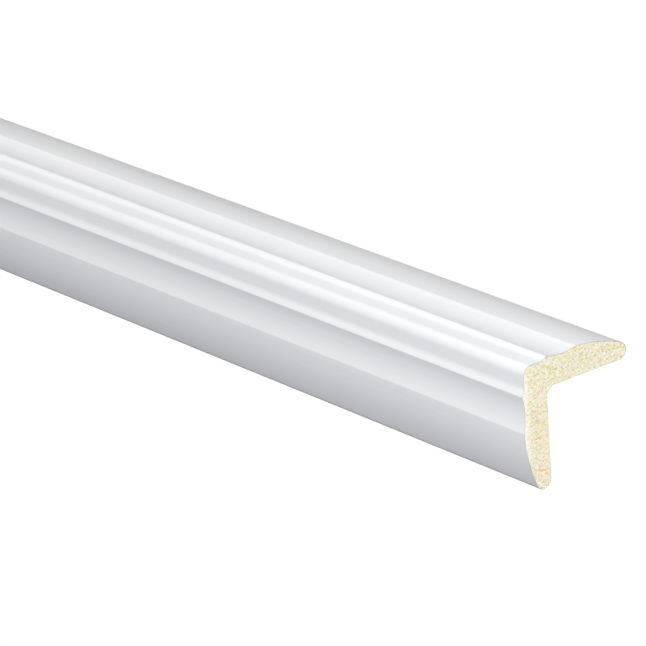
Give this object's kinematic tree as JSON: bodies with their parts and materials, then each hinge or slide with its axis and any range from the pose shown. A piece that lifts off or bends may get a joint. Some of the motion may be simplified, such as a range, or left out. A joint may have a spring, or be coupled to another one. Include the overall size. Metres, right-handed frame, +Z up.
{
  "type": "outside corner moulding",
  "caption": "Length of L-shaped softwood trim with a rounded nose, coves and rounded edges, primed white, that covers an outside corner.",
  "frame": {"origin": "centre of the top leg's flat inner face, halfway along the length", "axes": "+Y along the length, away from the cut end that the picture shows; +Z up out of the top leg's moulded face; +X from the outer corner towards the top leg's rounded edge"},
  "size_m": [0.0286, 0.25, 0.0285],
  "materials": {
    "primed_softwood": "smooth white primer on the long faces; the square-cut ends show bare pale pine"
  },
  "bodies": {
    "root": {"corner_moulding": "primed_softwood"}
  },
  "joints": []
}
